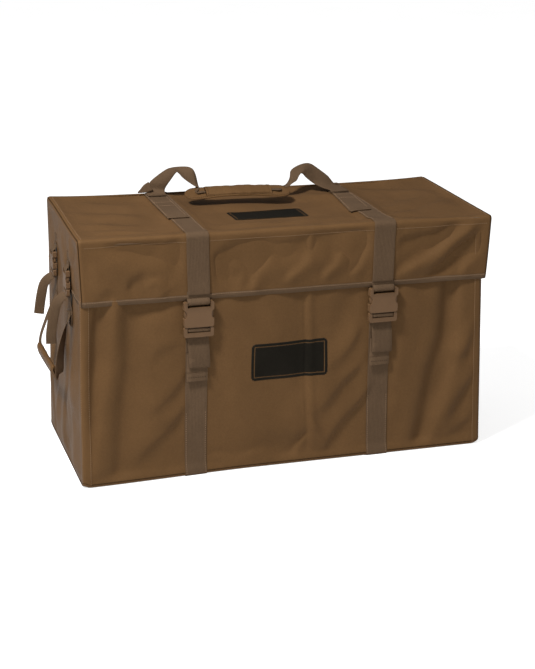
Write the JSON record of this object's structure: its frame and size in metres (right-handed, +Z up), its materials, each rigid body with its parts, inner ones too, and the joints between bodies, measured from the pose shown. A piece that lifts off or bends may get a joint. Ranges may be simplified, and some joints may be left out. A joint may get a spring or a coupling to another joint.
{
  "type": "slotted decoy carry bag",
  "caption": "Box-shaped fabric carry bag for decoys, with slotted dividers, a flap lid held by side-release buckles, a lid handle and end handles.",
  "frame": {"origin": "on the ground under the middle of the bag's body", "axes": "+X along the bag to its right end, +Y to the back, +Z up; the buckled front faces -Y"},
  "size_m": [1.0558, 0.4018, 0.624],
  "materials": {
    "coated_fabric": "brown coated polyester, soft satin sheen, fine plain weave",
    "divider_fabric": "brown polyester over a thin stiff sheet",
    "board": "plain stiff plastic sheet",
    "webbing": "ribbed polypropylene webbing, matt",
    "binding": "ribbed binding tape, matt",
    "buckle_plastic": "moulded brown acetal with a fine texture",
    "tag_fabric": "plain woven tag, no text"
  },
  "bodies": {
    "bag": {"front_panel": "coated_fabric", "back_panel": "coated_fabric", "left_end_panel": "coated_fabric", "right_end_panel": "coated_fabric", "bottom_panel": "coated_fabric", "base_board": "board", "corner_bands": "coated_fabric", "long_divider": "divider_fabric", "cross_dividers": "divider_fabric", "load_strap_left": "webbing", "load_strap_right": "webbing", "left_end_lower_straps": "webbing", "right_end_lower_straps": "webbing"},
    "lid": {"lid_top": "coated_fabric", "lid_front_flap": "coated_fabric", "lid_left_flap": "coated_fabric", "lid_right_flap": "coated_fabric", "lid_hem_binding": "binding", "lid_strap_left": "webbing", "lid_strap_right": "webbing", "left_end_upper_straps": "webbing", "right_end_upper_straps": "webbing", "blank_tag": "tag_fabric", "handle_webbing_left": "webbing", "handle_webbing_right": "webbing", "front_left_receiver": "buckle_plastic", "front_right_receiver": "buckle_plastic", "left_end_fore_receiver": "buckle_plastic", "left_end_aft_receiver": "buckle_plastic", "right_end_fore_receiver": "buckle_plastic", "right_end_aft_receiver": "buckle_plastic"},
    "grip": {"handle_grip": "coated_fabric"},
    "left_end_handle": {"left_end_handle_webbing": "webbing", "left_end_handle_grip": "coated_fabric"},
    "right_end_handle": {"right_end_handle_webbing": "webbing", "right_end_handle_grip": "coated_fabric"},
    "front_left_insert": {"front_left_insert": "buckle_plastic", "front_left_tail": "webbing"},
    "front_left_arm_left": {"front_left_arm_left": "buckle_plastic"},
    "front_left_arm_right": {"front_left_arm_right": "buckle_plastic"},
    "front_right_insert": {"front_right_insert": "buckle_plastic", "front_right_tail": "webbing"},
    "front_right_arm_left": {"front_right_arm_left": "buckle_plastic"},
    "front_right_arm_right": {"front_right_arm_right": "buckle_plastic"},
    "left_end_fore_insert": {"left_end_fore_insert": "buckle_plastic", "left_end_fore_tail": "webbing"},
    "left_end_fore_arm_fore": {"left_end_fore_arm_fore": "buckle_plastic"},
    "left_end_fore_arm_aft": {"left_end_fore_arm_aft": "buckle_plastic"},
    "left_end_aft_insert": {"left_end_aft_insert": "buckle_plastic", "left_end_aft_tail": "webbing"},
    "left_end_aft_arm_fore": {"left_end_aft_arm_fore": "buckle_plastic"},
    "left_end_aft_arm_aft": {"left_end_aft_arm_aft": "buckle_plastic"},
    "right_end_fore_insert": {"right_end_fore_insert": "buckle_plastic", "right_end_fore_tail": "webbing"},
    "right_end_fore_arm_fore": {"right_end_fore_arm_fore": "buckle_plastic"},
    "right_end_fore_arm_aft": {"right_end_fore_arm_aft": "buckle_plastic"},
    "right_end_aft_insert": {"right_end_aft_insert": "buckle_plastic", "right_end_aft_tail": "webbing"},
    "right_end_aft_arm_fore": {"right_end_aft_arm_fore": "buckle_plastic"},
    "right_end_aft_arm_aft": {"right_end_aft_arm_aft": "buckle_plastic"}
  },
  "joints": [
    {"name": "lid_hinge", "type": "hinge", "parent": "bag", "child": "lid", "pos_m": [0, 0.192, 0.558], "axis": [-1, 0, 0], "range_deg": [0, 180]},
    {"name": "grip_lift", "type": "slide", "parent": "lid", "child": "grip", "axis": [0, 0, 1], "range_m": [0, 0.07], "deforming": ["handle_webbing_left", "handle_webbing_right"]},
    {"name": "left_end_handle_swing", "type": "hinge", "parent": "bag", "child": "left_end_handle", "pos_m": [-0.47605, 0, 0.368], "axis": [0, 1, 0], "range_deg": [0, 110]},
    {"name": "right_end_handle_swing", "type": "hinge", "parent": "bag", "child": "right_end_handle", "pos_m": [0.47605, 0, 0.368], "axis": [0, -1, 0], "range_deg": [0, 110]},
    {"name": "front_left_release", "type": "slide", "parent": "bag", "child": "front_left_insert", "axis": [0, 0, -1], "range_m": [0, 0.045], "deforming": ["front_left_arm_left", "front_left_arm_right"]},
    {"name": "front_left_arm_left_squeeze", "type": "hinge", "parent": "front_left_insert", "child": "front_left_arm_left", "pos_m": [-0.239, -0.20095, 0.3588], "axis": [0, 1, 0], "range_deg": [0, 8]},
    {"name": "front_left_arm_right_squeeze", "type": "hinge", "parent": "front_left_insert", "child": "front_left_arm_right", "pos_m": [-0.191, -0.20095, 0.3588], "axis": [0, -1, 0], "range_deg": [0, 8]},
    {"name": "front_right_release", "type": "slide", "parent": "bag", "child": "front_right_insert", "axis": [0, 0, -1], "range_m": [0, 0.045], "deforming": ["front_right_arm_left", "front_right_arm_right"]},
    {"name": "front_right_arm_left_squeeze", "type": "hinge", "parent": "front_right_insert", "child": "front_right_arm_left", "pos_m": [0.191, -0.20095, 0.3588], "axis": [0, 1, 0], "range_deg": [0, 8]},
    {"name": "front_right_arm_right_squeeze", "type": "hinge", "parent": "front_right_insert", "child": "front_right_arm_right", "pos_m": [0.239, -0.20095, 0.3588], "axis": [0, -1, 0], "range_deg": [0, 8]},
    {"name": "left_end_fore_release", "type": "slide", "parent": "bag", "child": "left_end_fore_insert", "axis": [0, 0, -1], "range_m": [0, 0.032], "deforming": ["left_end_fore_arm_fore", "left_end_fore_arm_aft"]},
    {"name": "left_end_fore_arm_fore_squeeze", "type": "hinge", "parent": "left_end_fore_insert", "child": "left_end_fore_arm_fore", "pos_m": [-0.4806, -0.09119, 0.4307], "axis": [-1, 0, 0], "range_deg": [0, 8]},
    {"name": "left_end_fore_arm_aft_squeeze", "type": "hinge", "parent": "left_end_fore_insert", "child": "left_end_fore_arm_aft", "pos_m": [-0.4806, -0.06881, 0.4307], "axis": [1, 0, 0], "range_deg": [0, 8]},
    {"name": "left_end_aft_release", "type": "slide", "parent": "bag", "child": "left_end_aft_insert", "axis": [0, 0, -1], "range_m": [0, 0.032], "deforming": ["left_end_aft_arm_fore", "left_end_aft_arm_aft"]},
    {"name": "left_end_aft_arm_fore_squeeze", "type": "hinge", "parent": "left_end_aft_insert", "child": "left_end_aft_arm_fore", "pos_m": [-0.4806, 0.06881, 0.4307], "axis": [-1, 0, 0], "range_deg": [0, 8]},
    {"name": "left_end_aft_arm_aft_squeeze", "type": "hinge", "parent": "left_end_aft_insert", "child": "left_end_aft_arm_aft", "pos_m": [-0.4806, 0.09119, 0.4307], "axis": [1, 0, 0], "range_deg": [0, 8]},
    {"name": "right_end_fore_release", "type": "slide", "parent": "bag", "child": "right_end_fore_insert", "axis": [0, 0, -1], "range_m": [0, 0.032], "deforming": ["right_end_fore_arm_fore", "right_end_fore_arm_aft"]},
    {"name": "right_end_fore_arm_fore_squeeze", "type": "hinge", "parent": "right_end_fore_insert", "child": "right_end_fore_arm_fore", "pos_m": [0.4806, -0.09119, 0.4307], "axis": [-1, 0, 0], "range_deg": [0, 8]},
    {"name": "right_end_fore_arm_aft_squeeze", "type": "hinge", "parent": "right_end_fore_insert", "child": "right_end_fore_arm_aft", "pos_m": [0.4806, -0.06881, 0.4307], "axis": [1, 0, 0], "range_deg": [0, 8]},
    {"name": "right_end_aft_release", "type": "slide", "parent": "bag", "child": "right_end_aft_insert", "axis": [0, 0, -1], "range_m": [0, 0.032], "deforming": ["right_end_aft_arm_fore", "right_end_aft_arm_aft"]},
    {"name": "right_end_aft_arm_fore_squeeze", "type": "hinge", "parent": "right_end_aft_insert", "child": "right_end_aft_arm_fore", "pos_m": [0.4806, 0.06881, 0.4307], "axis": [-1, 0, 0], "range_deg": [0, 8]},
    {"name": "right_end_aft_arm_aft_squeeze", "type": "hinge", "parent": "right_end_aft_insert", "child": "right_end_aft_arm_aft", "pos_m": [0.4806, 0.09119, 0.4307], "axis": [1, 0, 0], "range_deg": [0, 8]}
  ],
  "couplings": [
    {"joint": "front_left_arm_right_squeeze", "follows": "front_left_arm_left_squeeze", "ratio": 1},
    {"joint": "front_right_arm_right_squeeze", "follows": "front_right_arm_left_squeeze", "ratio": 1},
    {"joint": "left_end_fore_arm_aft_squeeze", "follows": "left_end_fore_arm_fore_squeeze", "ratio": 1},
    {"joint": "left_end_aft_arm_aft_squeeze", "follows": "left_end_aft_arm_fore_squeeze", "ratio": 1},
    {"joint": "right_end_fore_arm_aft_squeeze", "follows": "right_end_fore_arm_fore_squeeze", "ratio": 1},
    {"joint": "right_end_aft_arm_aft_squeeze", "follows": "right_end_aft_arm_fore_squeeze", "ratio": 1}
  ]
}
